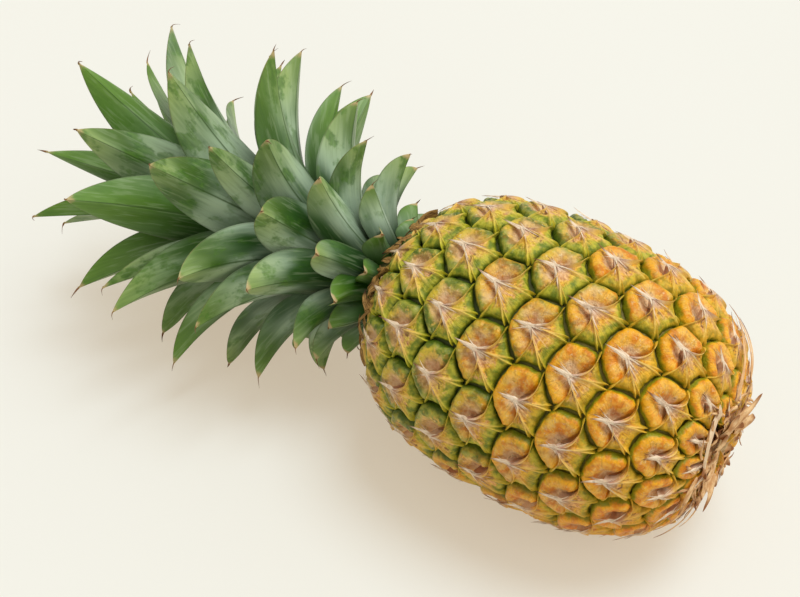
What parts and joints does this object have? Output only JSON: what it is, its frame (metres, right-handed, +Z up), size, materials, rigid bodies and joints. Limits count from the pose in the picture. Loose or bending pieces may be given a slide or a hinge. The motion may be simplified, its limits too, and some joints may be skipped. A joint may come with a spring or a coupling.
{
  "type": "pineapple",
  "caption": "Whole ripe pineapple with its leafy crown, lying on its side as picked.",
  "frame": {"origin": "middle of the small flat that the fruit's weight presses into its eyes, where it rests on the ground", "axes": "+Z up, +X along the fruit's axis from the crown towards the cut stalk, +Y to the side"},
  "size_m": [0.3443, 0.1605, 0.1494],
  "materials": {
    "rind": "waxy fruit rind, golden orange near the base, greener near the crown, dark green grooves",
    "leaf": "fresh waxy leaf, blue-green with a pale bloom, drier yellow edges",
    "stem": "fibrous green stem, mostly hidden by the feet of the leaves",
    "stalk": "cut, drying fibrous stalk end",
    "dry_bract": "dry papery bract, light brown"
  },
  "bodies": {
    "root": {"fruit": "rind", "crown_stem": "stem", "cut_stalk": "stalk", "crown_leaf_01": "leaf", "crown_leaf_02": "leaf", "crown_leaf_03": "leaf", "crown_leaf_04": "leaf", "crown_leaf_05": "leaf", "crown_leaf_06": "leaf", "crown_leaf_07": "leaf", "crown_leaf_08": "leaf", "crown_leaf_09": "leaf", "crown_leaf_10": "leaf", "crown_leaf_11": "leaf", "crown_leaf_12": "leaf", "crown_leaf_13": "leaf", "crown_leaf_14": "leaf", "crown_leaf_15": "leaf", "crown_leaf_16": "leaf", "crown_leaf_17": "leaf", "crown_leaf_18": "leaf", "crown_leaf_19": "leaf", "crown_leaf_20": "leaf", "crown_leaf_21": "leaf", "crown_leaf_22": "leaf", "crown_leaf_23": "leaf", "crown_leaf_24": "leaf", "crown_leaf_25": "leaf", "crown_leaf_26": "leaf", "crown_leaf_27": "leaf", "crown_leaf_28": "leaf", "crown_leaf_29": "leaf", "crown_leaf_30": "leaf", "crown_leaf_31": "leaf", "crown_leaf_32": "leaf", "crown_leaf_33": "leaf", "crown_leaf_34": "leaf", "crown_leaf_35": "leaf", "crown_leaf_36": "leaf", "crown_leaf_37": "leaf", "crown_leaf_38": "leaf", "crown_leaf_39": "leaf", "crown_leaf_40": "leaf", "crown_leaf_41": "leaf", "crown_leaf_42": "leaf", "crown_leaf_43": "leaf", "crown_leaf_44": "leaf", "crown_leaf_45": "leaf", "crown_leaf_46": "leaf", "crown_leaf_47": "leaf", "crown_leaf_48": "leaf", "crown_leaf_49": "leaf", "crown_leaf_50": "leaf", "crown_leaf_51": "leaf", "crown_leaf_52": "leaf", "crown_leaf_53": "leaf", "crown_leaf_54": "leaf", "basal_bract_1": "dry_bract", "basal_bract_2": "dry_bract", "basal_bract_3": "dry_bract"}
  },
  "joints": []
}
